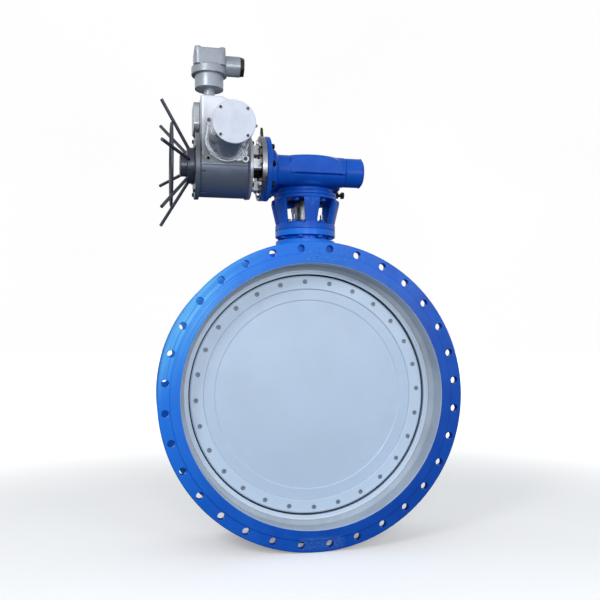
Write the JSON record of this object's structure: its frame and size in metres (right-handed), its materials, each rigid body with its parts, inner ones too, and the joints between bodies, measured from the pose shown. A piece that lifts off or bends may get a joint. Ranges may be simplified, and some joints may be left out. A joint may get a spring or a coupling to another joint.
{
  "type": "butterfly valve",
  "caption": "Large double-flanged butterfly valve: eccentric disc in a blue flanged body, turned by a worm gearbox with an electric actuator, handwheel and terminal box.",
  "frame": {"origin": "centre of the front flange's raised face, on the pipe axis", "axes": "+Y along the pipe axis from the front flange to the rear flange, +Z along the stem towards the gearbox, +X along the drive shaft away from the handwheel"},
  "size_m": [1.4048, 0.789, 2.2644],
  "materials": {
    "blue_paint": "gloss enamel over cast steel",
    "disc_paint": "satin epoxy coating",
    "bright_steel": "machined",
    "bronze": "machined aluminium bronze",
    "seal_rubber": "moulded",
    "graphite_packing": "braided graphite",
    "dark_steel": "oiled",
    "cast_aluminium": "fine sand cast, sprayed silver grey",
    "copper_winding": "varnished windings",
    "dark_plastic": "moulded",
    "indicator_red": "moulded",
    "indicator_white": "printed scale",
    "handwheel_grey": "satin enamel over steel bar"
  },
  "bodies": {
    "body": {"valve_body": "blue_paint", "body_seat_ring": "disc_paint", "upper_bearing": "bronze", "lower_bearing": "bronze", "packing_rings": "graphite_packing", "packing_gland": "blue_paint", "gland_studs": "bright_steel", "gland_nuts": "blue_paint", "thrust_pad": "bronze", "bottom_cover": "blue_paint", "bottom_gasket": "seal_rubber", "bottom_cover_bolts": "blue_paint", "yoke": "blue_paint", "yoke_base_bolts": "blue_paint", "yoke_top_bolts": "blue_paint", "gearbox_housing": "blue_paint", "gearbox_cover": "blue_paint", "cover_screws": "bright_steel", "indicator_plate": "indicator_white", "worm_bearings": "bright_steel", "worm_end_cap": "blue_paint", "travel_stops": "dark_steel", "adapter_plate": "dark_steel", "adapter_bolts": "bright_steel", "adapter_posts": "bright_steel", "actuator_housing": "cast_aluminium", "output_flange": "cast_aluminium", "end_plate": "cast_aluminium", "housing_screws": "bright_steel", "sleeve_bearings": "bright_steel", "motor_stator": "copper_winding", "motor_drum": "cast_aluminium", "motor_cover": "cast_aluminium", "drum_screws": "bright_steel", "control_cover": "cast_aluminium", "switch_unit": "dark_plastic", "terminal_base": "cast_aluminium", "terminal_hood": "cast_aluminium", "cable_gland": "dark_plastic"},
    "disc_assembly": {"disc": "disc_paint", "disc_seal_ring": "seal_rubber", "seal_retaining_ring": "disc_paint", "retaining_ring_screws": "bright_steel", "upper_stem": "bright_steel", "lower_stem": "bright_steel", "disc_pins": "bright_steel", "worm_wheel": "bronze", "drive_bush": "bright_steel", "stem_key": "bright_steel", "position_indicator": "indicator_red"},
    "drive_train": {"worm": "dark_steel", "worm_shaft": "bright_steel", "shaft_coupling": "bright_steel", "drive_sleeve": "bright_steel", "handwheel_hub": "handwheel_grey", "handwheel_spokes": "handwheel_grey", "handwheel_ring": "handwheel_grey"},
    "motor_rotor_body": {"motor_shaft": "bright_steel", "motor_rotor": "dark_steel"},
    "drive_gear_body": {"drive_gear": "bronze"}
  },
  "joints": [
    {"name": "disc_turn", "type": "hinge", "parent": "body", "child": "disc_assembly", "pos_m": [0, 0.235, 0], "axis": [0, 0, 1], "range_deg": [0, 90]},
    {"name": "handwheel_turn", "type": "hinge", "parent": "body", "child": "drive_train", "pos_m": [-0.4, 0.11, 1.04], "axis": [1, 0, 0], "range_deg": [-4141, 0]},
    {"name": "motor_turn", "type": "hinge", "parent": "body", "child": "motor_rotor_body", "pos_m": [-0.404, 0, 1.126], "axis": [0, 1, 0], "continuous": true},
    {"name": "drive_gear_turn", "type": "hinge", "parent": "body", "child": "drive_gear_body", "pos_m": [-0.404, 0.11, 1.04], "axis": [1, 0, 0], "continuous": true}
  ],
  "couplings": [
    {"joint": "handwheel_turn", "follows": "disc_turn", "ratio": -46},
    {"joint": "drive_gear_turn", "follows": "motor_turn", "ratio": 0.025}
  ]
}
